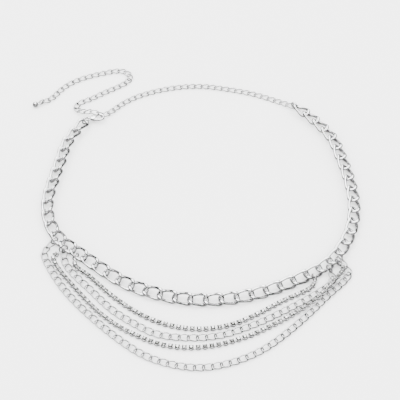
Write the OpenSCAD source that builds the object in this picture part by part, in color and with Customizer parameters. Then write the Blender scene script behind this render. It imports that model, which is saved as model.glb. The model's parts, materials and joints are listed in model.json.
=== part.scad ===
// Waist chain: a chunky curb chain closed at the back by a finer curb chain and a lobster clasp,
// with four swagged strands across the front and an extender tail with a bead drop.
// It lies flat: the front is at -Y, the clasp at the back left, and the resting face at z = 0.

/* [Main chain] */
// Outer length of a chunky curb link
main_length = 14.2; // [13:0.1:16]
// Outer width of a chunky curb link
main_width = 9.0; // [9:0.1:11]
// Wire diameter of a chunky curb link
main_wire = 1.9; // [1.6:0.05:2.1]
// Slack between two hooked chunky links
main_play = 0.5; // [0.4:0.05:0.8]

/* [Fine chain] */
// Outer length of a fine curb link
fine_length = 6.9; // [6.8:0.1:8]
// Outer width of a fine curb link
fine_width = 4.6; // [4.5:0.1:5.4]
// Wire diameter of a fine curb link
fine_wire = 0.7; // [0.7:0.05:0.95]
// Slack between two hooked fine links
fine_play = 0.5; // [0.4:0.05:0.7]

/* [Jump rings] */
// Outer diameter of the jump rings that join chains, clasp and strands
ring_outer = 6.0; // [5.8:0.1:6.8]
// Wire diameter of those jump rings
ring_wire = 1.0; // [0.8:0.05:1.1]
// Outer diameter of the small jump ring that carries the drop
small_ring_outer = 4.4; // [4.2:0.1:5]
// Wire diameter of the small jump ring
small_ring_wire = 0.8; // [0.6:0.05:0.85]

/* [Lobster clasp] */
// Distance from the middle of the clasp's eye to its pivot
clasp_neck = 3.5; // [3.4:0.1:4.2]
// Distance from the pivot to the middle of the claw's round nose
clasp_reach = 4.9; // [4.7:0.1:5.6]
// Centreline radius of the claw's round nose
claw_radius = 2.6; // [2.5:0.05:2.9]
// Wire diameter of the claw
claw_wire = 1.5; // [1.3:0.05:1.6]
// Centreline radius of the clasp's eye
eye_radius = 1.3; // [1.25:0.05:1.6]
// Wire diameter of the clasp's eye
eye_wire = 0.9; // [0.7:0.05:0.95]
// Diameter of the pivot hub
hub_diameter = 3.8; // [3.6:0.1:4.2]
// Thickness of the pivot hub
hub_thickness = 2.5; // [2.3:0.1:2.8]
// Thickness of the lever
lever_thickness = 1.1; // [0.9:0.05:1.2]
// Diameter of the pivot pin
pin_diameter = 0.9; // [0.7:0.05:1.1]
// Height of the clasp's middle plane above the table
clasp_height = 3.1; // [3.05:0.05:3.3]
// Direction in which the clasp points from its eye to its nose
clasp_turn = 13; // [10:1:16]

/* [Strands] */
// Width of a rhinestone cup chain
cup_width = 3.7; // [3.2:0.1:3.9]
// Height of a rhinestone cup chain
cup_height = 2.7; // [2.3:0.1:3]
// Clearance from a strand's end to the jump ring that holds it
strand_gap = 0.3; // [0.2:0.05:0.6]

/* [Drop] */
// Diameter of the round bead at the end of the extender
bead_diameter = 4.0; // [3.6:0.1:4.6]
// Centreline radius of the bead's eye
bead_eye_radius = 1.2; // [1.15:0.05:1.4]
// Wire diameter of the bead's eye
bead_eye_wire = 0.7; // [0.5:0.05:0.75]

/* [Clearance] */
// Least gap between two metal pieces that hook or turn on each other
gap = 0.15; // [0.1:0.01:0.2]

/* [Hidden] */

silver = "#c9ccd0";
crystal = "#dfe6ec";

// Route points, seen from above, with a third value where the chain is lifted off the table.
main_route = [[-82, 73], [-92, 55.5], [-96, 37.5], [-100, 17.5], [-103, -1.5], [-101, -20], [-93, -36.5],
    [-79, -49], [-64, -62], [-48, -74], [-30, -82], [-11, -87], [9, -88], [30, -85],
    [49, -78.5], [67, -69.5], [84, -58.5], [96, -42], [103, -23], [105, -3], [103, 18],
    [99, 37.5], [94, 56.5], [83, 73.5], [69.5, 88.5, 0.5]];
back_route = [[56, 96.5], [40, 103.5], [20, 109], [0, 112], [-20, 110], [-40, 103.5], [-54, 95]];
tail_route = [[-81.5, 82.5, 3], [-87, 85.5, 1.3], [-89, 90.5, 0.1], [-86, 95], [-79, 98.5], [-68, 106], [-57, 113], [-51, 119],
              [-52.5, 126], [-60, 128.5], [-70, 126], [-82, 122], [-93, 116], [-101, 108], [-107, 99], [-113, 95, 0.5]];
strand_1_route = [[-81.5, -58.5], [-71.5, -67], [-57, -82.5], [-38, -98], [-19, -107], [0, -110], [19, -107],
    [36.5, -98.5], [53.5, -87.5], [65.5, -81], [73, -76]];
strand_2_route = [[-88.5, -55], [-81, -66.5], [-71.5, -77], [-58, -92.5], [-46, -102.5], [-27, -114],
    [-6, -117], [14, -115], [35, -106.5], [52, -97], [67, -87.5], [79.5, -78.5], [87, -71]];
strand_3_route = [[-96.5, -51], [-91.5, -61.5], [-82.5, -74], [-69.5, -90.5], [-61.5, -99], [-48, -110],
    [-27, -121], [-8, -124.5], [11, -122.5], [30, -116], [44, -108.5, 0.1], [60, -98.5, 0.6],
    [74, -87.5, 1.6], [84, -77.5, 2.8], [91, -68, 2.8], [94, -64, 2.6]];
strand_4_route = [[-102.5, -47], [-98.5, -58.5], [-91.5, -71.5], [-83, -84], [-70.5, -98.5], [-54, -115],
    [-36, -129.5], [-19, -137], [0, -140], [19, -136.5], [38, -127.5], [54.5, -114], [70, -98],
    [83, -83], [93, -72.5], [98, -64.5]];

// Each strand hangs by a jump ring from the chunky link nearest to a distance along the chunky chain:
// that distance, the ring's place from the link's middle, and how much further the strand stands off
left_hooks = [[134, 0.3, 0], [124, 0.3, 0], [122, -1.9, 0], [114, 0.3, 0]];
right_hooks = [[301, -1.9, 0], [312, 0.3, 0], [320, -1.9, 0], [322, 0.3, 2]];

route_steps = 8;
main_sides = 12;
main_wire_sides = 6;
fine_sides = 10;
fine_wire_sides = 5;
squareness = 0.9;
strand_sides = 8;
strand_step = 9;
ring_radius = (ring_outer - ring_wire) / 2;
small_ring_radius = (small_ring_outer - small_ring_wire) / 2;

function unit(v) = v / norm(v);
function turned(v, angle) = [v.x * cos(angle) - v.y * sin(angle), v.x * sin(angle) + v.y * cos(angle), v.z];

// Smooth line through the route points, as many short steps
function bend(a, b, c, d, t) =
    0.5 * (2 * b + (c - a) * t + (2 * a - 5 * b + 4 * c - d) * t * t + (3 * b - a - 3 * c + d) * t * t * t);
function smooth(route) =
    let (n = len(route),
         p = concat([2 * route[0] - route[1]], route, [2 * route[n - 1] - route[n - 2]]))
    concat([for (i = [0 : n - 2], j = [0 : route_steps - 1])
                bend(p[i], p[i + 1], p[i + 2], p[i + 3], j / route_steps)], [route[n - 1]]);
function run_lengths(line) =
    [for (i = 0, s = 0; i < len(line); s = s + (i < len(line) - 1 ? norm(line[i + 1] - line[i]) : 0), i = i + 1) s];
function last(list) = list[len(list) - 1];

// Points at equal distances along a line
function spaced(line, count) =
    let (s = run_lengths(line), end = last(s))
    [for (k = [0 : count])
        [for (axis = [0 : 2]) lookup(end * k / count, [for (i = [0 : len(line) - 1]) [s[i], line[i][axis]]])]];

// Joint points of a chain along a route: neighbouring links hook at each of them
function chain_pitch(length, wire, play) = length - 2 * wire - play;
function joint_points(route, pitch) =
    let (line = smooth(route)) spaced(line, round(last(run_lengths(line)) / pitch));
function rest_height(twist, wire) = twist + wire / 2;
function lifted(route, height) = [for (p = route) [p.x, p.y, height + (len(p) > 2 ? p.z : 0)]];

// Frame of link k: its middle, the way along the chain, the way to the left and the way up, rolled
function link_frame(joints, k, roll) =
    let (along = unit(joints[k + 1] - joints[k]),
         side = unit(cross([0, 0, 1], along)),
         up = cross(along, side))
    [(joints[k] + joints[k + 1]) / 2, along, side * cos(roll) + up * sin(roll), up * cos(roll) - side * sin(roll)];

// One curb link: an oval of round wire, twisted so that its ends lean opposite ways
function oval(t, a, b, twist) =
    [a * sign(cos(t)) * pow(abs(cos(t)), squareness), b * sign(sin(t)) * pow(abs(sin(t)), squareness),
     twist * sin(2 * t)];
function in_frame(frame, p) = frame[0] + frame[1] * p.x + frame[2] * p.y + frame[3] * p.z;
function link_points(frame, length, width, wire, twist, sides, wire_sides) =
    let (a = (length - wire) / 2, b = (width - wire) / 2)
    [for (i = [0 : sides - 1])
        let (t = 360 * (i + 0.5) / sides,
             here = oval(t, a, b, twist),
             way = unit(oval(t + 2, a, b, twist) - oval(t - 2, a, b, twist)),
             out = unit(cross(way, [0, 0, 1])),
             over = cross(out, way))
        for (j = [0 : wire_sides - 1])
            in_frame(frame, here + wire / 2 * (out * cos(360 * j / wire_sides) + over * sin(360 * j / wire_sides)))];
function ring_faces(first, sides, wire_sides) =
    [for (i = [0 : sides - 1], j = [0 : wire_sides - 1])
        let (i2 = (i + 1) % sides, j2 = (j + 1) % wire_sides,
             a = first + i * wire_sides + j, b = first + i * wire_sides + j2,
             c = first + i2 * wire_sides + j2, d = first + i2 * wire_sides + j)
        each [[a, b, c], [a, c, d]]];
module curb_links(frames, length, width, wire, twist, sides, wire_sides) {
    color(silver)
        polyhedron(points = [for (f = frames) each link_points(f, length, width, wire, twist, sides, wire_sides)],
                   faces = [for (k = [0 : len(frames) - 1]) each ring_faces(k * sides * wire_sides, sides, wire_sides)]);
}

// Twist of a link's ends: enough to carry one wire over the other
function end_twist(wire, play) = 0.6 * wire + 0.7 * play;
main_twist = end_twist(main_wire, main_play);
fine_twist = end_twist(fine_wire, fine_play);
main_pitch = chain_pitch(main_length, main_wire, main_play);
fine_pitch = chain_pitch(fine_length, fine_wire, fine_play);
main_height = rest_height(main_twist, main_wire);
fine_height = rest_height(fine_twist, fine_wire);
// How far a link's end wire lies past its joint point
main_over = (main_length - main_wire - main_pitch) / 2;
fine_over = (fine_length - fine_wire - fine_pitch) / 2;

main_joints = joint_points(lifted(main_route, main_height), main_pitch);
main_count = len(main_joints) - 1;
main_frames = [for (k = [0 : main_count - 1]) link_frame(main_joints, k, 0)];

// Level distance from a ring's middle to a wire that pulls on it from inside, at another height
function seat(radius, wire, other, rise) =
    let (reach = radius - (wire + other) / 2 - 2.5 * gap) sqrt(max(0, reach * reach - rise * rise));
ring_height = max(main_height, ring_outer / 2);

// Jump ring past the chunky chain's last link, and the fine chain's first joint in it
end_way = last(main_frames)[1];
hook_rise = 0.9;
end_apex = last(main_joints) + end_way * main_over;
back_way = unit([back_route[0].x - end_apex.x, back_route[0].y - end_apex.y, 0]);
end_ring_way = unit(3 * end_way + back_way);
end_ring_middle = let (p = end_apex + end_ring_way * seat(ring_radius, ring_wire, main_wire, ring_height - main_height))
    [p.x, p.y, ring_height];
back_start = let (z = fine_height + hook_rise,
                  p = end_ring_middle + end_ring_way * seat(ring_radius, ring_wire, fine_wire, ring_height - z)
                      + back_way * fine_over)
    [p.x, p.y, z];

// Jump ring before the chunky chain's first link, and the clasp's eye round the ring's wire
start_way = -main_frames[0][1];
clasp_way = turned([1, 0, 0], clasp_turn);
clasp_ring_way = unit(2 * start_way + clasp_way);
clasp_ring_middle = let (p = main_joints[0] + start_way * main_over
                             + clasp_ring_way * seat(ring_radius, ring_wire, main_wire, ring_height - main_height))
    [p.x, p.y, ring_height];
clasp_place = let (rise = ring_height - clasp_height,
                   p = clasp_ring_middle + clasp_ring_way * sqrt(ring_radius * ring_radius - rise * rise))
    [p.x, p.y, clasp_height];
nose_x = clasp_neck + clasp_reach;

// The fine link in the claw crosses the claw's wire aslant, its end towards the back chain low
claw_end_angle = 105;
held_angle = 75;
held_slack = 0.25;
held_tilt = 45;
held_turn = 2.5;
function heading(turn, rise) = turned([cos(turn) * cos(rise), sin(turn) * cos(rise), sin(rise)], clasp_turn);
held_middle = clasp_place + turned([nose_x, 0, 0], clasp_turn) + heading(held_angle, 0) * (claw_radius + held_slack);
held_half = heading(held_turn, -held_tilt) * fine_pitch / 2;
held_joints = [held_middle + held_half, held_middle - held_half];
held_frame = link_frame(held_joints, 0, 0);

// The fine chain comes along the table to the held link, and leaves it over the clasp
back_turn = 17;
over_turn = 159;
over_rise = 7;
back_joints = joint_points(concat([back_start], lifted(back_route, fine_height),
    [held_joints[0] + heading(back_turn, 0) * 1.1 * fine_pitch, held_joints[0]]), fine_pitch);
tail_joints = joint_points(concat([held_joints[1], held_joints[1] + heading(over_turn, over_rise) * 1.1 * fine_pitch],
    lifted(tail_route, fine_height)), fine_pitch);
back_count = len(back_joints) - 1;
tail_count = len(tail_joints) - 1;
back_frames = concat([for (k = [0 : back_count - 1]) link_frame(back_joints, k, 0)], [held_frame]);
tail_frames = [for (k = [0 : tail_count - 1]) link_frame(tail_joints, k, 0)];

// A small ring past the extender's last link carries the bead
tail_way = unit([last(tail_frames)[1].x, last(tail_frames)[1].y, 0]);
drop_ring_height = max(fine_height, small_ring_outer / 2);
drop_ring_middle = let (p = last(tail_joints) + last(tail_frames)[1] * fine_over
        + tail_way * seat(small_ring_radius, small_ring_wire, fine_wire, drop_ring_height - last(tail_joints).z))
    [p.x, p.y, drop_ring_height];
bead_eye_middle = let (rise = drop_ring_height - bead_diameter / 2,
                       p = drop_ring_middle + tail_way * sqrt(small_ring_radius * small_ring_radius - rise * rise))
    [p.x, p.y, bead_diameter / 2];

// Jump rings on the outer side wire of chunky links
main_run = norm(main_joints[1] - main_joints[0]);
function hook_frame(hook) = main_frames[round((hook[0] - hook[1]) / main_run - 0.5)];
function hook_point(hook) =
    let (a = (main_length - main_wire) / 2, b = (main_width - main_wire) / 2,
         t = -acos(sign(hook[1]) * pow(abs(hook[1]) / a, 1 / squareness)))
    in_frame(hook_frame(hook), oval(t, a, b, main_twist));
function hook_ring_middle(hook) =
    let (p = hook_point(hook),
         q = p - hook_frame(hook)[2] * seat(ring_radius, ring_wire, main_wire, ring_height - p.z))
    [q.x, q.y, ring_height];
function hook_angle(hook) = flat_angle(hook_frame(hook)[2]);

// Where a strand begins or ends, outside its jump ring and on the way to its route's next point
function strand_end(hook, next) =
    let (c = hook_ring_middle(hook), way = unit([next.x - c.x, next.y - c.y, 0]))
    [c.x, c.y, next.z] + way * (ring_outer / 2 + strand_gap + hook[2]);

// A ring of round wire that stands upright, turned to an angle seen from above
module upright_ring(middle, angle, radius, wire) {
    color(silver)
        translate(middle) rotate([90, 0, angle])
            rotate_extrude($fn = 48) translate([radius, 0]) circle(d = wire, $fn = 20);
}
module hook_ring(hook) {
    upright_ring(hook_ring_middle(hook), hook_angle(hook), ring_radius, ring_wire);
}
function flat_angle(way) = atan2(way.y, way.x);

// A plain rod of the strand's width and height along its route
module strand(left, right, route, width, height, paint) {
    mid = height / 2;
    lift_route = lifted(route, mid);
    ends = [strand_end(left, lift_route[0]), strand_end(right, last(lift_route))];
    line = smooth(concat([ends[0]], lift_route, [ends[1]]));
    count = round(last(run_lengths(line)) / strand_step);
    p = spaced(line, count);
    rings = [for (i = [0 : count])
        let (way = unit(p[min(i + 1, count)] - p[max(i - 1, 0)]), side = unit(cross([0, 0, 1], way)))
        for (j = [0 : strand_sides - 1])
            let (t = 360 * (j + 0.5) / strand_sides, r = cos(180 / strand_sides))
            p[i] + side * (width / 2 / r * cos(t)) + [0, 0, height / 2 / r * sin(t)]];
    walls = [for (i = [0 : count - 1], j = [0 : strand_sides - 1])
        let (j2 = (j + 1) % strand_sides,
             a = i * strand_sides + j, b = i * strand_sides + j2,
             c = (i + 1) * strand_sides + j2, d = (i + 1) * strand_sides + j)
        each [[a, b, c], [a, c, d]]];
    start_cap = [[for (j = [strand_sides - 1 : -1 : 0]) j]];
    end_cap = [[for (j = [0 : strand_sides - 1]) count * strand_sides + j]];
    color(paint) polyhedron(points = rings, faces = concat(walls, start_cap, end_cap));
}

module main_chain() {
    curb_links(main_frames, main_length, main_width, main_wire, main_twist, main_sides, main_wire_sides);
}
module back_chain() {
    curb_links(back_frames, fine_length, fine_width, fine_wire, fine_twist, fine_sides, fine_wire_sides);
}
module extender_chain() {
    curb_links(tail_frames, fine_length, fine_width, fine_wire, fine_twist, fine_sides, fine_wire_sides);
}
module end_ring() {
    upright_ring(end_ring_middle, flat_angle(end_ring_way), ring_radius, ring_wire);
}
module clasp_ring() {
    upright_ring(clasp_ring_middle, flat_angle(clasp_ring_way), ring_radius, ring_wire);
}
module drop_ring() {
    upright_ring(drop_ring_middle, flat_angle(tail_way), small_ring_radius, small_ring_wire);
}

// Round bead on a short neck with a flat eye
module bead_drop() {
    bead_x = bead_eye_radius + bead_diameter / 2 + bead_eye_wire / 4;
    color(silver) translate(bead_eye_middle) rotate([0, 0, flat_angle(tail_way)]) {
        rotate_extrude($fn = 40) translate([bead_eye_radius, 0]) circle(d = bead_eye_wire, $fn = 20);
        translate([bead_x, 0, 0]) sphere(d = bead_diameter, $fn = 48);
        translate([bead_eye_radius, 0, 0]) rotate([0, 90, 0])
            cylinder(d = bead_eye_wire, h = bead_x - bead_eye_radius, $fn = 20);
    }
}

module in_clasp() {
    translate(clasp_place) rotate([0, 0, clasp_turn]) children();
}
module rod(from, to, d) {
    way = to - from;
    translate(from) rotate([0, acos(way.z / norm(way)), atan2(way.y, way.x)]) cylinder(d = d, h = norm(way), $fn = 24);
}

// Claw tip and the lever's end that closes against it
claw_tip = [nose_x + claw_radius * cos(claw_end_angle), claw_radius * sin(claw_end_angle), 0];
tip_ball = 1.1;
spine_share = 0.94;
pivot = [clasp_neck, 0, 0];
lever_arm = unit(claw_tip - pivot);
lever_end = claw_tip - lever_arm * ((claw_wire + lever_thickness) / 2 * tip_ball + gap);
lever_wire = 0.9 * lever_thickness;
lever_root = 0.35 * hub_diameter;
thumb_angle = 56;
thumb_place = pivot + turned(lever_arm, thumb_angle) * (hub_diameter / 2 + lever_thickness / 2 + 2 * gap);
// The lever swings this far into the claw
lever_swing = 24;
slot_margin = 25;

// Room for the lever's root, and for its arm and thumb piece as they swing
module lever_slot() {
    reach = 2 * hub_diameter;
    from = flat_angle(lever_arm) - lever_swing - slot_margin;
    to = flat_angle(lever_arm) + thumb_angle + slot_margin;
    translate(pivot) {
        cylinder(r = lever_root + gap, h = lever_thickness + 2 * gap, center = true, $fn = 40);
        linear_extrude(lever_thickness + 2 * gap, center = true)
            polygon([[0, 0], for (step = [0 : 3]) reach * [cos(from + (to - from) * step / 3),
                                                           sin(from + (to - from) * step / 3)]]);
    }
}

module clasp_body() {
    color(silver) in_clasp() {
        rotate_extrude($fn = 40) translate([eye_radius, 0]) circle(d = eye_wire, $fn = 20);
        difference() {
            union() {
                translate(pivot) cylinder(d = hub_diameter, h = hub_thickness, center = true, $fn = 40);
                rod([eye_radius, 0, 0], pivot - [lever_root, 0, 0], claw_wire);
                rod(pivot - [0, 0.72 * hub_diameter / 2, 0], [nose_x, -claw_radius, 0], spine_share * claw_wire);
            }
            lever_slot();
        }
        translate([nose_x, -claw_radius, 0]) rotate([0, 90, 0]) sphere(d = tip_ball * claw_wire, $fn = 24);
        translate(pivot) cylinder(d = pin_diameter, h = hub_thickness - gap, center = true, $fn = 24);
        translate([nose_x, 0, 0]) rotate([0, 0, -90])
            rotate_extrude(angle = 90 + claw_end_angle, $fn = 48) translate([claw_radius, 0])
                circle(d = claw_wire, $fn = 24);
        translate(claw_tip) sphere(d = tip_ball * claw_wire, $fn = 24);
    }
}

module clasp_lever() {
    color(silver) in_clasp() {
        difference() {
            union() {
                translate(pivot) cylinder(r = lever_root, h = lever_thickness, center = true, $fn = 32);
                rod(pivot, lever_end, lever_wire);
                rod(pivot, thumb_place, lever_wire);
                translate(lever_end) sphere(d = tip_ball * lever_thickness, $fn = 24);
                translate(thumb_place) sphere(d = 1.25 * lever_thickness, $fn = 24);
            }
            translate(pivot) cylinder(d = pin_diameter + 2 * gap, h = 2 * lever_thickness, center = true, $fn = 24);
        }
    }
}

main_chain();
end_ring();
back_chain();
extender_chain();
drop_ring();
bead_drop();
clasp_ring();
clasp_body();
clasp_lever();
hook_ring(left_hooks[0]);  // left_ring_1
hook_ring(left_hooks[1]);  // left_ring_2
hook_ring(left_hooks[2]);  // left_ring_3
hook_ring(left_hooks[3]);  // left_ring_4
hook_ring(right_hooks[0]);  // right_ring_1
hook_ring(right_hooks[1]);  // right_ring_2
hook_ring(right_hooks[2]);  // right_ring_3
hook_ring(right_hooks[3]);  // right_ring_4
strand(left_hooks[0], right_hooks[0], strand_1_route, cup_width, cup_height, crystal);  // rhinestone_strand_upper
strand(left_hooks[1], right_hooks[1], strand_2_route, fine_width, 2 * fine_height, silver);  // fine_strand_upper
strand(left_hooks[2], right_hooks[2], strand_3_route, cup_width, cup_height, crystal);  // rhinestone_strand_lower
strand(left_hooks[3], right_hooks[3], strand_4_route, fine_width, 2 * fine_height, silver);  // fine_strand_lower
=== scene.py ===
import bpy
import bmesh
import json
from math import sin, cos, pi, radians, sqrt
from mathutils import Vector, Matrix


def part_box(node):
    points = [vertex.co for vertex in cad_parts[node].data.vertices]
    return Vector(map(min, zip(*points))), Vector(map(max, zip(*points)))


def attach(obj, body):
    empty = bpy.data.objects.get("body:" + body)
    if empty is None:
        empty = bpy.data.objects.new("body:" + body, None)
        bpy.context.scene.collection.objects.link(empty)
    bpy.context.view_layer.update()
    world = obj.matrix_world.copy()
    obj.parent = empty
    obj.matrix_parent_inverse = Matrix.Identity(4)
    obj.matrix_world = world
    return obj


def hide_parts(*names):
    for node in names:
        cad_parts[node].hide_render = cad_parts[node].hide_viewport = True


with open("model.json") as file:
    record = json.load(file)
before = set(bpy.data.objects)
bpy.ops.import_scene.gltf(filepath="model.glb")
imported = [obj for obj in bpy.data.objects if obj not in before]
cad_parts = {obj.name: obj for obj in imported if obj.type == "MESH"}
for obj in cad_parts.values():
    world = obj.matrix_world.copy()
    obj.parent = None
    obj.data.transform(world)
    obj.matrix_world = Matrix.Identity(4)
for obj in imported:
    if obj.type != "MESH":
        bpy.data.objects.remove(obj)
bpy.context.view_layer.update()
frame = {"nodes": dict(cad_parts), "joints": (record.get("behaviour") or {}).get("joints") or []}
scene = bpy.context.scene
mm = 0.001
up = Vector((0, 0, 1))

# Sizes in millimetres, as in the part's source
chunky = {"length": 14.2, "width": 9.0, "wire": 1.9, "play": 0.5, "around": 48, "sides": 14, "lean": 18,
          "square": 0.8, "twist": 0.9}
fine = {"length": 6.9, "width": 4.6, "wire": 0.7, "play": 0.5, "around": 22, "sides": 6,
        "square": 0.85, "twist": 0.72}
swag = {"length": 7.9, "width": 5.0, "wire": 0.85, "play": 0.5, "around": 22, "sides": 6, "lean": 16,
        "square": 0.85, "twist": 0.72}
ring = {"outer": 6.0, "wire": 1.0, "split": 7, "around": 56, "sides": 14}
smallRing = {"outer": 4.4, "wire": 0.8, "split": 8, "around": 44, "sides": 12}
clasp = {"neck": 3.5, "reach": 4.9, "claw": 2.6, "wire": 1.5, "eye": 1.3, "eyeWire": 0.9, "hub": 3.8,
         "hubThick": 2.5, "lever": 1.1, "pin": 0.9, "turn": 13, "clawEnd": 105, "thumb": 56, "gap": 0.15}
held = {"angle": 75, "slack": 0.25, "tilt": 45, "turn": 2.5, "backTurn": 17, "overTurn": 159, "overRise": 7,
        "step": 1.1}
cup = {"width": 3.7, "height": 2.7, "pitch": 4.4, "wall": 0.22, "sides": 16, "rim": 0.35, "stoneGap": 0.1,
       "prongWires": [0.26, 0.27, 0.2], "bar": 0.5}
endLoop = {"low": 1.3, "high": 4.2, "ahead": 0.15, "radius": 1.05, "wire": 0.26, "stemWires": [0.3, 0.42],
           "stem": (1.2, 1.9), "start": 1.75}
drop = {"bead": 4.0, "eye": 1.2, "eyeWire": 0.7, "cut": 110,
        "neck": [(-0.45, 0.36), (-0.1, 0.42), (0.06, 0.7)]}

# The chains' routes seen from above, in millimetres, with a height where a chain is lifted
mainRoute = [(-82, 73), (-92, 55.5), (-96, 37.5), (-100, 17.5), (-103, -1.5), (-101, -20), (-93, -36.5),
             (-79, -49), (-64, -62), (-48, -74), (-30, -82), (-11, -87), (9, -88), (30, -85), (49, -78.5),
             (67, -69.5), (84, -58.5), (96, -42), (103, -23), (105, -3), (103, 18), (99, 37.5), (94, 56.5),
             (83, 73.5), (69.5, 88.5, 0.5)]
backRoute = [(56, 96.5), (40, 103.5), (20, 109), (0, 112), (-20, 110), (-40, 103.5), (-54, 95)]
tailRoute = [(-81.5, 82.5, 3), (-87, 85.5, 1.3), (-89, 90.5, 0.1), (-86, 95), (-79, 98.5), (-68, 106),
             (-57, 113), (-51, 119), (-52.5, 126), (-60, 128.5), (-70, 126), (-82, 122), (-93, 116),
             (-101, 108), (-107, 99), (-113, 95, 0.5)]
strandRoutes = [
    [(-81.5, -58.5), (-71.5, -67), (-57, -82.5), (-38, -98), (-19, -107), (0, -110), (19, -107), (36.5, -98.5),
     (53.5, -87.5), (65.5, -81), (73, -76)],
    [(-88.5, -55), (-81, -66.5), (-71.5, -77), (-58, -92.5), (-46, -102.5), (-27, -114), (-6, -117),
     (14, -115), (35, -106.5), (52, -97), (67, -87.5), (79.5, -78.5), (87, -71)],
    [(-96.5, -51), (-91.5, -61.5), (-82.5, -74), (-69.5, -90.5), (-61.5, -99), (-48, -110), (-27, -121),
     (-8, -124.5), (11, -122.5), (30, -116), (44, -108.5, 0.1), (60, -98.5, 0.6), (74, -87.5, 1.6),
     (84, -77.5, 2.8), (91, -68, 2.8), (94, -64, 2.6)],
    [(-102.5, -47), (-98.5, -58.5), (-91.5, -71.5), (-83, -84), (-70.5, -98.5), (-54, -115), (-36, -129.5),
     (-19, -137), (0, -140), (19, -136.5), (38, -127.5), (54.5, -114), (70, -98), (83, -83), (93, -72.5),
     (98, -64.5)]]

# The chunky link that carries each strand's ring, counted from the clasp, and the height of what hangs in a ring
leftHooks = [13, 12, 12, 11]
rightHooks = [30, 31, 32, 32]
hookRise = 0.9


# Routes and link frames, all in millimetres until a mesh is made
def lifted(route, height):
    return [Vector((p[0], p[1], height + (p[2] if len(p) > 2 else 0))) for p in route]


def smoothLine(route, steps=8):
    pts = [2 * route[0] - route[1], *route, 2 * route[-1] - route[-2]]
    line = []
    for a, b, c, d in zip(pts, pts[1:], pts[2:], pts[3:]):
        for j in range(steps):
            t = j / steps
            line.append(0.5 * (2 * b + (c - a) * t + (2 * a - 5 * b + 4 * c - d) * t ** 2
                               + (3 * b - a - 3 * c + d) * t ** 3))
    return line + [route[-1]]


def lineLength(line):
    return sum((b - a).length for a, b in zip(line, line[1:]))


def evenPoints(line, count):
    runs = [0]
    for a, b in zip(line, line[1:]):
        runs.append(runs[-1] + (b - a).length)
    out, i = [], 0
    for k in range(count + 1):
        s = runs[-1] * k / count
        while i < len(line) - 2 and runs[i + 1] < s:
            i += 1
        out.append(line[i].lerp(line[i + 1], min(1, (s - runs[i]) / (runs[i + 1] - runs[i]))))
    return out


def pitchOf(link):
    return link["length"] - 2 * link["wire"] - link["play"]


def twistOf(link):
    return (0.6 * link["wire"] + 0.7 * link["play"]) * link["twist"]


def restHeight(link):
    return twistOf(link) + link["wire"] / 2


def jointPoints(route, link):
    line = smoothLine(route)
    return evenPoints(line, round(lineLength(line) / pitchOf(link)))


def linkFrame(a, b):
    along = (b - a).normalized()
    side = up.cross(along).normalized()
    return (a + b) / 2, along, side, along.cross(side)


def overOf(link):
    return (link["length"] - link["wire"] - pitchOf(link)) / 2


def seat(band, other, rise):
    reach = (band["outer"] - band["wire"]) / 2 - (band["wire"] + other) / 2 - 2.5 * clasp["gap"]
    return sqrt(max(0, reach ** 2 - rise ** 2))


def oval(t, link):
    a, b = (link["length"] - link["wire"]) / 2, (link["width"] - link["wire"]) / 2
    c, s = cos(t), sin(t)
    power = link["square"]
    return Vector((a * (1 if c > 0 else -1) * abs(c) ** power, b * (1 if s > 0 else -1) * abs(s) ** power,
                   twistOf(link) * sin(2 * t)))


def turnsOf(count):
    return [2 * pi * i / count for i in range(count)]


def flatTurn(x, y, angle):
    a = radians(angle)
    return Vector((x * cos(a) - y * sin(a), x * sin(a) + y * cos(a), 0))


def boxMiddle(node):
    low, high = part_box(node)
    return (low + high) / 2 / mm


def level(v):
    return Vector((v.x, v.y, 0)).normalized()


mainJoints = jointPoints(lifted(mainRoute, restHeight(chunky)), chunky)
mainFrames = [linkFrame(a, b) for a, b in zip(mainJoints, mainJoints[1:])]


# Camera, floor and light
def makeCamera():
    view = {"elevation": 48, "distance": 1023.2, "aim": (0.5, 0.9, 0), "lens": 135}
    e = radians(view["elevation"])
    cam = bpy.data.cameras.new("camera")
    cam.lens = view["lens"]
    cam.sensor_width = 36
    cam.clip_start = 0.01
    obj = bpy.data.objects.new("camera", cam)
    scene.collection.objects.link(obj)
    aim = Vector(view["aim"])
    obj.location = (aim + Vector((0, -cos(e), sin(e))) * view["distance"]) * mm
    obj.rotation_euler = (pi / 2 - e, 0, 0)
    scene.camera = obj


def areaLight(name, place, aim, size, power):
    light = bpy.data.lights.new(name, "AREA")
    light.shape = "RECTANGLE"
    light.size, light.size_y = size
    light.energy = power
    obj = bpy.data.objects.new(name, light)
    scene.collection.objects.link(obj)
    obj.location = place
    obj.rotation_euler = (Vector(aim) - Vector(place)).to_track_quat("-Z", "Y").to_euler()


class Shade:
    def __init__(self, tree, out=None):
        self.tree, self.out = tree, out

    def make(self, kind, settings=None, inputs=None, out=0):
        node = self.tree.nodes.new(kind)
        for key, value in (settings or {}).items():
            if key == "stops":
                ramp = node.color_ramp.elements
                while len(ramp) < len(value):
                    ramp.new(0.5)
                for element, (place, colour) in zip(ramp, value):
                    element.position, element.color = place, (*colour, 1) if len(colour) == 3 else colour
            else:
                setattr(node, key, value)
        for key, value in (inputs or {}).items():
            if isinstance(value, Shade):
                self.tree.links.new(value.out, node.inputs[key])
            elif value is not None:
                node.inputs[key].default_value = value
        return Shade(self.tree, node.outputs[out] if node.outputs else None)

    def maths(self, operation, a, b):
        return self.make("ShaderNodeMath", {"operation": operation}, {0: a, 1: b})

    def __add__(self, other):
        return self.maths("ADD", self, other)

    __radd__ = __add__

    def __mul__(self, other):
        return self.maths("MULTIPLY", self, other)

    __rmul__ = __mul__

    def __sub__(self, other):
        return self.maths("SUBTRACT", self, other)

    def __rsub__(self, other):
        return self.maths("SUBTRACT", other, self)


def newMaterial(name):
    material = bpy.data.materials.new(name)
    material.use_nodes = True
    tree = material.node_tree
    tree.nodes.clear()
    return material, Shade(tree)


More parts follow.
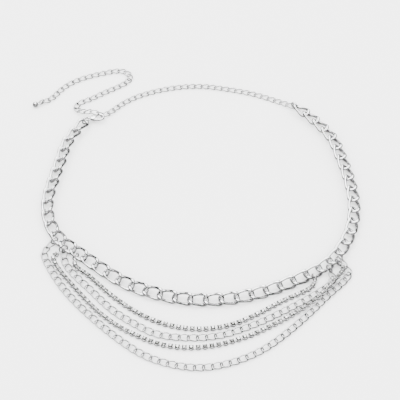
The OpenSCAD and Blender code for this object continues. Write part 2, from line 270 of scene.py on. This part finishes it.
def finishMaterial(material, shade, sockets, normal=None):
    surface = shade.make("ShaderNodeBsdfPrincipled", None, sockets)
    if normal:
        material.node_tree.links.new(normal.out, surface.out.node.inputs["Normal"])
    shade.make("ShaderNodeOutputMaterial", None, {"Surface": surface})
    return material


# Polished plating: almost a mirror, with soft wear patches, hairline scratches and a faint orange peel
silverLook = {"bright": (0.7, 0.7, 0.705), "worn": (0.52, 0.52, 0.52), "patch": 140, "peel": 1500,
              "scratch": 2600, "smooth": 0.07, "rough": 0.2, "wornShare": 0.7, "scratchShare": 0.2,
              "scratchRough": 0.08, "peelHeight": 0.6, "scratchDepth": 0.25, "strength": 0.12,
              "depth": 0.00006}


def silverMaterial(name, tone=1.0, roughMore=0.0):
    material, s = newMaterial(name)
    place = s.make("ShaderNodeTexCoord", None, None, "Object")
    patches = s.make("ShaderNodeTexNoise", None, {"Vector": place, "Scale": silverLook["patch"],
                                                  "Detail": 5.0, "Roughness": 0.6})
    wear = s.make("ShaderNodeMapRange", None, {"Value": patches, "From Min": 0.42, "From Max": 0.68})
    stretch = s.make("ShaderNodeMapping", None, {"Vector": place, "Scale": (1.0, 0.16, 0.4),
                                                 "Rotation": (0.3, 0.2, 0.7)})
    hairs = s.make("ShaderNodeTexNoise", None, {"Vector": stretch, "Scale": silverLook["scratch"],
                                                "Detail": 3.0})
    scratches = s.make("ShaderNodeMapRange", None, {"Value": hairs, "From Min": 0.56, "From Max": 0.74})
    peel = s.make("ShaderNodeTexNoise", None, {"Vector": place, "Scale": silverLook["peel"], "Detail": 2.0})
    colour = s.make("ShaderNodeMix", {"data_type": "RGBA"},
                    {0: wear * silverLook["wornShare"] + scratches * silverLook["scratchShare"],
                     6: (*[c * tone for c in silverLook["bright"]], 1),
                     7: (*[c * tone for c in silverLook["worn"]], 1)}, 2)
    smooth = silverLook["smooth"]
    rough = wear * (silverLook["rough"] - smooth) + scratches * silverLook["scratchRough"]
    rough = rough + (smooth + roughMore)
    bump = s.make("ShaderNodeBump", None,
                  {"Height": peel * silverLook["peelHeight"] - scratches * silverLook["scratchDepth"],
                   "Strength": silverLook["strength"], "Distance": silverLook["depth"]})
    return finishMaterial(material, s, {"Base Color": colour, "Metallic": 1.0, "Roughness": rough}, bump)


def crystalMaterial():
    material, s = newMaterial("clearCrystal")
    # Painted glints and reflections: a random value per face picks each facet's colour, from near black to pale
    # grey, standing in for facets that catch a light and facets that mirror dark surroundings
    paintedGlint = s.make("ShaderNodeAttribute", {"attribute_name": "sparkle"}, None, "Fac")
    colour = s.make("ShaderNodeValToRGB", {"stops": [(0.0, (0.02, 0.02, 0.02)), (0.45, (0.1, 0.1, 0.095)),
                                                     (0.75, (0.3, 0.3, 0.29)), (1.0, (0.8, 0.8, 0.8))]},
                    {"Fac": paintedGlint})
    place = s.make("ShaderNodeTexCoord", None, None, "Object")
    dust = s.make("ShaderNodeTexNoise", None, {"Vector": place, "Scale": 900.0, "Detail": 2.0})
    return finishMaterial(material, s, {"Base Color": colour, "Metallic": 0.82, "Roughness": dust * 0.1,
                                        "Coat Weight": 0.5, "Coat Roughness": 0.02, "Coat IOR": 1.6})


# The floor is pale to the camera, and darker in the metal's reflections, as black cards beside it would make it
def floorMaterial():
    material, s = newMaterial("paleFloor")
    place = s.make("ShaderNodeTexCoord", None, None, "Object")
    cloud = s.make("ShaderNodeTexNoise", None, {"Vector": place, "Scale": 6.0, "Detail": 2.0})
    colour = s.make("ShaderNodeMix", {"data_type": "RGBA"}, {0: cloud, 6: (0.86, 0.86, 0.86, 1),
                                                             7: (0.875, 0.875, 0.87, 1)}, 2)
    seen = s.make("ShaderNodeBsdfPrincipled", None, {"Base Color": colour, "Roughness": 0.85,
                                                     "Specular IOR Level": 0.2})
    mirrored = s.make("ShaderNodeBsdfPrincipled", None, {"Base Color": (0.14, 0.14, 0.14, 1), "Roughness": 0.9,
                                                         "Specular IOR Level": 0.0})
    eye = s.make("ShaderNodeLightPath", None, None, "Is Camera Ray")
    both = s.make("ShaderNodeMixShader", None, {0: eye, 1: mirrored, 2: seen})
    s.make("ShaderNodeOutputMaterial", None, {"Surface": both})
    return material


# The metal mirrors bright cards overhead that fall off to the sides, and an even tent lights everything else
def makeStage():
    studio = {"floor": 6, "below": 0.00002, "cardsWay": (-0.12, 0.32, 0.94), "sideFall": 0.8, "cards": 12.5,
              "tent": 5.0, "key": 16, "fill": 4, "front": 3}
    bpy.ops.mesh.primitive_plane_add(size=studio["floor"], location=(0, 0, -studio["below"]))
    floor = bpy.context.object
    floor.name = "floor"
    floor.data.transform(floor.matrix_world)
    floor.matrix_world = Matrix.Identity(4)
    floor.data.materials.append(floorMaterial())
    world = bpy.data.worlds.new("studio")
    world.use_nodes = True
    tree = world.node_tree
    tree.nodes.clear()
    s = Shade(tree)
    way = s.make("ShaderNodeTexCoord", None, None, "Generated")
    height = s.make("ShaderNodeVectorMath", {"operation": "DOT_PRODUCT"}, {0: way, 1: studio["cardsWay"]},
                    "Value")
    across = s.make("ShaderNodeSeparateXYZ", None, {"Vector": way}, "X")
    height = height - across * across * studio["sideFall"]
    sky = s.make("ShaderNodeValToRGB", {"stops": [(0.0, (0.004, 0.004, 0.004)), (0.66, (0.012, 0.012, 0.012)),
                                                  (0.76, (0.8, 0.8, 0.8)), (1.0, (1.0, 1.0, 1.0))]},
                 {"Fac": height})
    cards = s.make("ShaderNodeBackground", None, {"Color": sky, "Strength": studio["cards"]})
    tent = s.make("ShaderNodeBackground", None, {"Color": (1, 1, 1, 1), "Strength": studio["tent"]})
    mirror = s.make("ShaderNodeLightPath", None, None, "Is Glossy Ray")
    both = s.make("ShaderNodeMixShader", None, {0: mirror, 1: tent, 2: cards})
    s.make("ShaderNodeOutputWorld", None, {"Surface": both})
    scene.world = world
    areaLight("keyLight", (-0.5, 0.5, 1.3), (0, 0, 0), (1.0, 0.8), studio["key"])
    areaLight("fillLight", (0.9, -0.2, 0.9), (0, 0, 0), (0.6, 0.6), studio["fill"])
    areaLight("frontLight", (-0.2, -1.2, 0.7), (0, 0, 0), (0.8, 0.4), studio["front"])


makeCamera()
makeStage()
print("camera, floor and light are set")

chunkySilver = silverMaterial("chunkyChainSilver")
# The fine chains' silver is darkened to 0.56: painted shade standing in for the dark lines that shade and dark
# reflections give the thin wires
fineShadedSilver = silverMaterial("fineChainShadedSilver", 0.56, 0.03)
ringSilver = silverMaterial("ringSilver", 0.98, 0.02)
claspSilver = silverMaterial("claspSilver", 0.96, 0.05)
cupSilver = silverMaterial("stoneCupSilver", 0.54, 0.05)
crystal = crystalMaterial()


# Meshes made from listed points and faces
def meshObject(name, verts, faces, material=None, smooth=True):
    mesh = bpy.data.meshes.new(name)
    mesh.from_pydata([tuple(v) for v in verts], [], faces)
    mesh.update()
    if material:
        mesh.materials.append(material)
    mesh.polygons.foreach_set("use_smooth", [smooth] * len(mesh.polygons))
    obj = bpy.data.objects.new(name, mesh)
    scene.collection.objects.link(obj)
    return obj


def joinMeshes(parts):
    verts, faces = [], []
    for v, f in parts:
        start = len(verts)
        verts += v
        faces += [[i + start for i in face] for face in f]
    return verts, faces


# Rows of points one after another, closed at both ends
def rowFaces(rows, sides):
    faces = []
    for i in range(rows - 1):
        for j in range(sides):
            a, b = i * sides + j, i * sides + (j + 1) % sides
            faces.append([a, b, b + sides, a + sides])
    faces.append(list(range(sides - 1, -1, -1)))
    faces.append([(rows - 1) * sides + j for j in range(sides)])
    return faces


def flatCircle(sides):
    return [Vector((cos(t), sin(t), 0)) for t in turnsOf(sides)]


def tube(points, radii, sides, closed=False, flat=1.0):
    n = len(points)
    rings = []
    for i, p in enumerate(points):
        ahead = points[(i + 1) % n] if closed or i < n - 1 else p
        behind = points[i - 1] if closed or i > 0 else p
        way = (ahead - behind).normalized()
        out = way.cross(up)
        out = (out if out.length > 1e-4 else Vector((1, 0, 0))).normalized()
        over = out.cross(way)
        rings.append([p + radii[i] * (out * cos(2 * pi * j / sides) + over * flat * sin(2 * pi * j / sides))
                      for j in range(sides)])
    verts = [v for r in rings for v in r]
    faces = []
    for i in range(n if closed else n - 1):
        for j in range(sides):
            a, b = i * sides + j, i * sides + (j + 1) % sides
            c, d = (i + 1) % n * sides + (j + 1) % sides, (i + 1) % n * sides + j
            faces.append([a, d, c, b])
    if not closed:
        faces.append(list(range(sides)))
        faces.append([(n - 1) * sides + j for j in range(sides - 1, -1, -1)])
    return verts, faces


# The wire is a little fuller at the twisted corners than along the sides
def wireRadius(t, link):
    wire = {"side": 0.86, "corner": 0.28}
    return link["wire"] / 2 * (wire["side"] + wire["corner"] * sin(2 * t) ** 2)


def linkMesh(link):
    turns = [2 * pi * (i + 0.5) / link["around"] for i in range(link["around"])]
    return tube([oval(t, link) for t in turns], [wireRadius(t, link) for t in turns], link["sides"],
                closed=True)


# A jump ring of round wire with its fine cut left open
def splitRing(middle, way, band, cutAt):
    wire = band["wire"] / 2
    radius = band["outer"] / 2 - wire
    half = band["split"] / 2
    verts = []
    n, sides = band["around"], band["sides"]
    cross = up.cross(way)
    for i in range(n):
        a = radians(cutAt + half + (360 - 2 * half) * i / (n - 1))
        out = way * cos(a) + up * sin(a)
        verts += [middle + out * (radius + wire * cos(t)) + cross * (wire * sin(t)) for t in turnsOf(sides)]
    return verts, rowFaces(n, sides)


def outwards(obj):
    bm = bmesh.new()
    bm.from_mesh(obj.data)
    bmesh.ops.remove_doubles(bm, verts=bm.verts, dist=1e-7)
    bmesh.ops.recalc_face_normals(bm, faces=bm.faces)
    bm.to_mesh(obj.data)
    bm.free()


def inMetres(obj):
    obj.data.transform(Matrix.Scale(mm, 4))
    outwards(obj)
    return obj


# Geometry Nodes helpers
def newTree(name, sockets):
    tree = bpy.data.node_groups.new(name, "GeometryNodeTree")
    tree.interface.new_socket("Geometry", in_out="OUTPUT", socket_type="NodeSocketGeometry")
    tree.interface.new_socket("Route", in_out="INPUT", socket_type="NodeSocketGeometry")
    for label, kind in sockets:
        tree.interface.new_socket(label, in_out="INPUT", socket_type="NodeSocket" + kind)
    return tree


def geoNode(tree, kind, settings=None, inputs=None):
    node = tree.nodes.new(kind)
    for key, value in (settings or {}).items():
        setattr(node, key, value)
    for key, value in (inputs or {}).items():
        if isinstance(value, bpy.types.NodeSocket):
            tree.links.new(value, node.inputs[key])
        else:
            node.inputs[key].default_value = value
    return node


# Puts one piece between each two neighbouring joints of a route, turned along it and rolled about it
def alongTree():
    tree = newTree("piecesAlongRoute", [("Joints", "Int"), ("Piece", "Object"), ("Metal", "Material"),
                                        ("Second Piece", "Object"), ("Second Finish", "Material"),
                                        ("Seed", "Int")])
    given = tree.nodes.new("NodeGroupInput").outputs

    def add(kind, settings=None, inputs=None, out=0):
        return geoNode(tree, kind, settings, inputs).outputs[out]

    curve = add("GeometryNodeMeshToCurve", None, {"Mesh": given["Route"]})
    even = add("GeometryNodeResampleCurve", {"mode": "COUNT"}, {"Curve": curve, "Count": given["Joints"]})
    points = add("GeometryNodeCurveToPoints", {"mode": "EVALUATED"}, {"Curve": even})
    position = add("GeometryNodeInputPosition")
    index = add("GeometryNodeInputIndex")
    nextIndex = add("ShaderNodeMath", {"operation": "ADD"}, {0: index, 1: 1.0})
    ahead = add("GeometryNodeFieldAtIndex", {"data_type": "FLOAT_VECTOR", "domain": "POINT"},
                {"Value": position, "Index": nextIndex})
    chord = add("ShaderNodeVectorMath", {"operation": "SUBTRACT"}, {0: ahead, 1: position})
    stored = add("GeometryNodeStoreNamedAttribute", {"data_type": "FLOAT_VECTOR", "domain": "POINT"},
                 {"Geometry": points, "Name": "chord", "Value": chord})
    chordRead = add("GeometryNodeInputNamedAttribute", {"data_type": "FLOAT_VECTOR"}, {"Name": "chord"})
    rollRead = add("GeometryNodeInputNamedAttribute", {"data_type": "FLOAT"}, {"Name": "roll"})
    half = add("ShaderNodeVectorMath", {"operation": "SCALE"}, {0: chordRead, "Scale": 0.5})
    moved = add("GeometryNodeSetPosition", None, {"Geometry": stored, "Offset": half})
    lastIndex = add("ShaderNodeMath", {"operation": "SUBTRACT"}, {0: given["Joints"], 1: 1.5})
    isLast = add("ShaderNodeMath", {"operation": "GREATER_THAN"}, {0: index, 1: lastIndex})
    kept = add("GeometryNodeDeleteGeometry", {"domain": "POINT"}, {"Geometry": moved, "Selection": isLast})
    aimed = add("FunctionNodeAxesToRotation", {"primary_axis": "X", "secondary_axis": "Z"},
                {"Primary Axis": chordRead, "Secondary Axis": (0, 0, 1)})
    rolled = add("FunctionNodeAxisAngleToRotation", None, {"Axis": (1, 0, 0), "Angle": rollRead})
    turned = add("FunctionNodeRotateRotation", {"rotation_space": "LOCAL"},
                 {"Rotation": aimed, "Rotate By": rolled})
    join = tree.nodes.new("GeometryNodeJoinGeometry")
    for piece, finish in (("Second Piece", "Second Finish"), ("Piece", "Metal")):
        shape = add("GeometryNodeObjectInfo", {"transform_space": "ORIGINAL"}, {"Object": given[piece]},
                    "Geometry")
        copies = add("GeometryNodeInstanceOnPoints", None,
                     {"Points": kept, "Instance": shape, "Rotation": turned})
        real = add("GeometryNodeRealizeInstances", None, {"Geometry": copies})
        # A random value per face, read by the crystal as its painted facet glints
        dice = add("FunctionNodeRandomValue", {"data_type": "FLOAT"}, {"Seed": given["Seed"]}, 1)
        marked = add("GeometryNodeStoreNamedAttribute", {"data_type": "FLOAT", "domain": "FACE"},
                     {"Geometry": real, "Name": "sparkle", "Value": dice})
        painted = add("GeometryNodeSetMaterial", None, {"Geometry": marked, "Material": given[finish]})
        tree.links.new(painted, join.inputs[0])
    clean = join.outputs[0]
    for name in ("chord", "roll"):
        clean = add("GeometryNodeRemoveAttribute", None, {"Geometry": clean, "Name": name})
    out = tree.nodes.new("NodeGroupOutput")
    tree.links.new(clean, out.inputs[0])
    return tree


routeTree = alongTree()


def piecesAlong(name, line, rolls, joints, piece, metal, second=None, secondFinish=None, seed=0):
    mesh = bpy.data.meshes.new(name + "Route")
    mesh.from_pydata([tuple(p * mm) for p in line], [(i, i + 1) for i in range(len(line) - 1)], [])
    attribute = mesh.attributes.new("roll", "FLOAT", "POINT")
    attribute.data.foreach_set("value", [radians(r) for r in rolls])
    obj = bpy.data.objects.new(name + "Route", mesh)
    scene.collection.objects.link(obj)
    modifier = obj.modifiers.new("pieces", "NODES")
    modifier.node_group = routeTree
    values = {"Joints": joints, "Piece": piece, "Metal": metal, "Second Piece": second,
              "Second Finish": secondFinish, "Seed": seed}
    for item in routeTree.interface.items_tree:
        if item.in_out == "INPUT" and values.get(item.name) is not None:
            modifier[item.identifier] = values[item.name]
    plain = bpy.data.meshes.new_from_object(obj.evaluated_get(bpy.context.evaluated_depsgraph_get()))
    obj.modifiers.remove(modifier)
    bpy.data.objects.remove(obj)
    made = bpy.data.objects.new(name, plain)
    plain.name = name
    scene.collection.objects.link(made)
    return made


def settle(obj, slot, *nodes, body="chain"):
    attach(obj, body)
    if nodes:
        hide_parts(*nodes)
    return obj


# Link shapes
chunkyLink = inMetres(meshObject("chunkyLinkShape", *linkMesh(chunky)))
fineLink = inMetres(meshObject("fineLinkShape", *linkMesh(fine)))
swagLink = inMetres(meshObject("swagLinkShape", *linkMesh(swag)))


def zeroRolls(line):
    return [0] * len(line)


# Height of a link's middle when it leans with its outer side on the floor
def leaningHeight(link):
    lean = radians(link["lean"])
    return max(wireRadius(t, link) - oval(t, link).z * cos(lean) - oval(t, link).y * sin(lean)
               for t in turnsOf(72))


def makeMainChain():
    route = smoothLine(lifted(mainRoute, leaningHeight(chunky)))
    made = piecesAlong("chunkyCurbChain", route, [chunky["lean"]] * len(route), len(mainJoints), chunkyLink,
                       chunkySilver)
    settle(made, "chain_silver", "main_chain")


makeMainChain()
print("chunky chain:", len(mainJoints) - 1, "links")


# The jump rings and where their chains begin
ringMiddles = {n: boxMiddle(n) for n in frame["nodes"] if "ring" in n}
endApex = mainJoints[-1] + mainFrames[-1][1] * overOf(chunky)
backWay = level(Vector(backRoute[0]).to_3d() - endApex)
endRingWay = level(3 * mainFrames[-1][1] + backWay)
claspWay = flatTurn(1, 0, clasp["turn"])
claspRingWay = level(claspWay - mainFrames[0][1])
pivot = Vector(frame["joints"][0]["pos_m"]) / mm
claspPlace = pivot - claspWay * clasp["neck"]


def heading(turn, rise):
    turn, rise = radians(turn), radians(rise)
    return flatTurn(cos(turn) * cos(rise), sin(turn) * cos(rise), clasp["turn"]) + up * sin(rise)


def makeFineChains():
    rest, pitch, step = restHeight(fine), pitchOf(fine), held["step"] * pitchOf(fine)
    middle = claspPlace + claspWay * (clasp["neck"] + clasp["reach"])
    middle = middle + heading(held["angle"], 0) * (clasp["claw"] + held["slack"])
    half = heading(held["turn"], -held["tilt"]) * pitch / 2
    z = rest + hookRise
    start = ringMiddles["end_ring"] + endRingWay * seat(ring, fine["wire"], ringMiddles["end_ring"].z - z)
    start = start + backWay * overOf(fine)
    start.z = z
    line = smoothLine([start, *lifted(backRoute, rest), middle + half + heading(held["backTurn"], 0) * step,
                       middle + half])
    count = round(lineLength(line) / pitch)
    line = evenPoints(line, count) + [middle - half]
    made = piecesAlong("fineBackChain", line, zeroRolls(line), count + 2, fineLink, fineShadedSilver)
    settle(made, "fine_chain_silver", "back_chain")
    line = smoothLine([middle - half, middle - half + heading(held["overTurn"], held["overRise"]) * step,
                       *lifted(tailRoute, rest)])
    made = piecesAlong("fineTailChain", line, zeroRolls(line), round(lineLength(line) / pitch) + 1,
                       fineLink, fineShadedSilver)
    settle(made, "fine_chain_silver", "extender_chain")


makeFineChains()
print("fine back chain and tail are made")


def hookWay(hook):
    return -mainFrames[hook][2]


def makeRings():
    cut = {"first": 70, "step": 25, "end_ring": 75, "clasp_ring": 100}
    for side, hooks in (("left", leftHooks), ("right", rightHooks)):
        for i, hook in enumerate(hooks):
            node = f"{side}_ring_{i + 1}"
            shape = splitRing(ringMiddles[node], hookWay(hook), ring, cut["first"] + cut["step"] * i)
            made = inMetres(meshObject(f"{side}StrandRing{i + 1}", *shape, ringSilver))
            settle(made, "silver_metal", node)
    for node, way in (("end_ring", endRingWay), ("clasp_ring", claspRingWay)):
        shape = splitRing(ringMiddles[node], way, ring, cut[node])
        made = inMetres(meshObject(node.replace("_r", "R"), *shape, ringSilver))
        settle(made, "silver_metal", node)


makeRings()
print("jump rings are made")


# Where a strand begins and ends: the ring's hook, the ring's middle and the route's nearest point
def strandEnds(number, route):
    return ((leftHooks[number], ringMiddles[f"left_ring_{number + 1}"], route[0]),
            (rightHooks[number], ringMiddles[f"right_ring_{number + 1}"], route[-1]))


# The two fine strands: real curb links from ring to ring
def strandJointLine(number):
    route = lifted(strandRoutes[number], leaningHeight(swag))
    ends = []
    for hook, centre, near in strandEnds(number, route):
        z = restHeight(fine) + hookRise
        p = centre + hookWay(hook) * seat(ring, fine["wire"], centre.z - z)
        p = p + level(near - p) * overOf(fine)
        p.z = z
        ends.append(p)
    return smoothLine([ends[0], *route, ends[1]])


# The links roll to their last angle along the final millimetres before the right ring
def makeFineStrand(name, number, node, endRoll):
    rollRun = 16
    line = strandJointLine(number)
    runs, total = 0, lineLength(line)
    rolls = [swag["lean"]]
    for a, b in zip(line, line[1:]):
        runs += (b - a).length
        rolls.append(swag["lean"] + (endRoll - swag["lean"]) * max(0, 1 - (total - runs) / rollRun))
    made = piecesAlong(name, line, rolls, round(total / pitchOf(swag)) + 1, swagLink, fineShadedSilver)
    settle(made, "fine_chain_silver", node)


makeFineStrand("fineStrandUpper", 1, "fine_strand_upper", 24)
makeFineStrand("fineStrandLower", 3, "fine_strand_lower", -60)
print("fine strands are made")


# One set stone: an open round cup with four prongs, the bar to its neighbours, and the cut stone
def cupMesh():
    sides, rim, low = cup["sides"], cup["rim"], -cup["height"] / 2
    half = cup["width"] / 2
    outer = half * 0.97
    profile = [(half * 0.72, low + 0.12), (outer, low + 0.55), (outer, rim), (outer - cup["wall"], rim),
               (outer - cup["wall"], low + 0.7)]
    verts = [p * radius + up * z for radius, z in profile for p in flatCircle(sides)]
    parts = [(verts, rowFaces(len(profile), sides))]
    for k in range(4):
        a = radians(45 + 90 * k)
        out = Vector((cos(a), sin(a), 0)) * half
        path = [out * 0.95 + up * (low + 0.9), out * 0.93 + up * 0.75, out * 0.74 + up * 1.12]
        parts.append(tube(path, cup["prongWires"], 6))
    reach = cup["pitch"] / 2 - 0.02
    bar = [Vector((x, 0, low + 0.42)) for x in (-reach, reach)]
    parts.append(tube(bar, [cup["bar"]] * 2, 8, flat=0.5))
    return joinMeshes(parts)


# Rows of eight corners from the table down, each half a step round from the one above
def stoneMesh():
    n, r = 8, cup["width"] / 2 - cup["wall"] - cup["stoneGap"]
    rows = [(0.42 * r, 1.24, 0), (0.78 * r, 0.95, 22.5), (r, 0.42, 0), (0.6 * r, -0.35, 22.5)]
    verts = [Vector((radius * cos(radians(first + 360 * j / n)), radius * sin(radians(first + 360 * j / n)), z))
             for radius, z, first in rows for j in range(n)]
    faces = [list(range(n)), [3 * n + j for j in range(n - 1, -1, -1)]]
    for i in range(3):
        for j in range(n):
            a, b = i * n + j, i * n + (j + 1) % n
            faces += [[a, a + n, b], [b, a + n, b + n]]
    return verts, faces


cupShape = inMetres(meshObject("cupShape", *cupMesh(), None, False))
stoneShape = inMetres(meshObject("stoneShape", *stoneMesh(), None, False))


def makeStoneStrand(name, number, node, seed):
    route = lifted(strandRoutes[number], cup["height"] / 2)
    radius = (ring["outer"] - ring["wire"]) / 2
    ends, loops = [], []
    for hook, centre, near in strandEnds(number, route):
        z = min(max(near.z, endLoop["low"]), endLoop["high"])
        p = centre + hookWay(hook) * sqrt(radius ** 2 - (centre.z - z) ** 2)
        p.z = z
        way = level(near - p)
        eye = [p + way * endLoop["ahead"] + (way * cos(t) + up.cross(way) * sin(t)) * endLoop["radius"]
               for t in turnsOf(20)]
        loops.append(tube(eye, [endLoop["wire"]] * 20, 8, closed=True))
        loops.append(tube([p + way * x for x in endLoop["stem"]], endLoop["stemWires"], 8))
        ends.append(p + way * endLoop["start"])
    line = smoothLine([ends[0], *route, ends[1]])
    count = round(lineLength(line) / cup["pitch"])
    made = piecesAlong(name, line, zeroRolls(line), count + 1, cupShape, cupSilver, stoneShape, crystal, seed)
    settle(made, "rhinestone", node)
    eyes = inMetres(meshObject(name + "EndLoops", *joinMeshes(loops), ringSilver))
    settle(eyes, "silver_metal")
    print(name, count, "stones")


makeStoneStrand("rhinestoneStrandUpper", 0, "rhinestone_strand_upper", 3)
makeStoneStrand("rhinestoneStrandLower", 2, "rhinestone_strand_lower", 8)
for shape in (chunkyLink, fineLink, swagLink, cupShape, stoneShape):
    bpy.data.objects.remove(shape)


# The drop: small ring and a polished bead with its neck and eye
def makeDrop():
    middle = ringMiddles["drop_ring"]
    r = drop["bead"] / 2
    way = level(boxMiddle("bead_drop") - middle)
    made = inMetres(meshObject("dropRing", *splitRing(middle, way, smallRing, drop["cut"]), ringSilver))
    settle(made, "silver_metal", "drop_ring")
    eye = middle + way * sqrt(((smallRing["outer"] - smallRing["wire"]) / 2) ** 2 - (middle.z - r) ** 2)
    eye.z = r
    loop = [eye + (way * cos(t) + up.cross(way) * sin(t)) * drop["eye"] for t in turnsOf(32)]
    centre = eye + way * (drop["eye"] + r + drop["eyeWire"] / 4)
    turned = [(x - r, radius) for x, radius in drop["neck"]]
    turned += [(-r * cos(radians(a)), r * sin(radians(a))) for a in range(26, 180, 7)] + [(r, 0.02)]
    body = tube([centre + way * x for x, _ in turned], [radius for _, radius in turned], 40)
    loop = tube(loop, [drop["eyeWire"] / 2] * 32, 12, closed=True)
    bead = inMetres(meshObject("beadDrop", *joinMeshes([loop, body]), claspSilver))
    settle(bead, "silver_metal", "bead_drop")


makeDrop()
print("drop is made")


# The lobster clasp: cast body with eye, hub and claw, and the lever with its thumb piece
def local(x, y, z=0.0):
    return claspPlace + flatTurn(x, y, clasp["turn"]) + up * z


def melted(name, parts, voxel, material, rounds):
    obj = inMetres(meshObject(name, *joinMeshes(parts), material))
    remesh = obj.modifiers.new("melt", "REMESH")
    remesh.mode = "VOXEL"
    remesh.voxel_size = voxel * mm
    soften = obj.modifiers.new("soften", "SMOOTH")
    soften.factor, soften.iterations = 0.5, rounds
    plain = bpy.data.meshes.new_from_object(obj.evaluated_get(bpy.context.evaluated_depsgraph_get()))
    bpy.data.objects.remove(obj)
    made = bpy.data.objects.new(name, plain)
    plain.polygons.foreach_set("use_smooth", [True] * len(plain.polygons))
    scene.collection.objects.link(made)
    return made


def ball(centre, radius, rows=14, sides=20):
    verts = []
    for i in range(rows + 1):
        p = centre + up * (-radius * cos(pi * i / rows))
        verts += [p + c * (radius * max(0.02, sin(pi * i / rows))) for c in flatCircle(sides)]
    return verts, rowFaces(rows + 1, sides)


# A flat round with broken edges
def disc(centre, radius, low, high, sides=40):
    step = (high - low) * 0.28
    rows = [(radius * 0.86, low), (radius, low + step), (radius, high - step), (radius * 0.86, high)]
    return [centre + c * r + up * z for r, z in rows for c in flatCircle(sides)], rowFaces(4, sides)


def makeClasp():
    neck, leverHalf = clasp["neck"], clasp["lever"] / 2
    nose = neck + clasp["reach"]
    w, r = clasp["wire"] / 2, clasp["claw"]
    slot = leverHalf + clasp["gap"]
    hubHalf = clasp["hubThick"] / 2
    hub = local(neck, 0)
    eye = [local(clasp["eye"] * cos(t), clasp["eye"] * sin(t)) for t in turnsOf(40)]
    parts = [tube(eye, [clasp["eyeWire"] / 2] * 40, 14, closed=True),
             tube([local(clasp["eye"], 0), local(clasp["eye"] + 0.5, 0)], [0.5, 0.62], 14),
             disc(hub, clasp["hub"] / 2, slot, hubHalf),
             disc(hub, clasp["hub"] / 2, -hubHalf, -slot),
             disc(hub, clasp["pin"] / 2, -hubHalf, hubHalf, 20)]
    turns = [radians(a) for a in range(-90, clasp["clawEnd"] + 1, 5)]
    arc = [local(nose + r * cos(a), r * sin(a)) for a in turns]
    back = [(neck - 0.3, -1.25), (neck + 0.6, -1.5), (neck + 2, -1.95), (neck + 3.4, -2.35),
            (nose - 0.5, -2.56)]
    parts.append(tube([local(x, y) for x, y in back] + arc, [0.72, 0.92, 0.86, 0.8, w] + [w] * len(arc), 18))
    parts.append(ball(arc[-1], w * 1.1))
    parts.append(tube([local(clasp["eye"] + 0.3, 0), local(neck - 1.5, 0)], [0.6, 0.72], 14))
    body = melted("lobsterClaspBody", parts, 0.085, claspSilver, 6)
    settle(body, "silver_metal", "clasp_body")
    root = Vector((neck, 0, 0))
    tip = Vector((nose + r * cos(turns[-1]), r * sin(turns[-1]), 0))
    arm = (tip - root).normalized()
    end = tip - arm * ((w + leverHalf) * 1.1 + clasp["gap"])
    thumbWay = Matrix.Rotation(radians(clasp["thumb"]), 3, "Z") @ arm
    thumb = root + thumbWay * (clasp["hub"] / 2 + leverHalf + 2 * clasp["gap"])
    rod = 0.9 * leverHalf
    end, middle, thumb = [local(p.x, p.y) for p in (end, root.lerp(end, 0.6), thumb)]
    parts = [disc(hub, 0.35 * clasp["hub"], -leverHalf, leverHalf),
             tube([hub, middle, end], [rod, rod, rod * 1.02], 14), tube([hub, thumb], [rod, rod], 14),
             ball(end, 1.1 * leverHalf), ball(thumb, 1.24 * leverHalf)]
    lever = melted("lobsterClaspLever", parts, 0.07, claspSilver, 4)
    settle(lever, "silver_metal", "clasp_lever", body="lever")


makeClasp()
print("clasp is made")
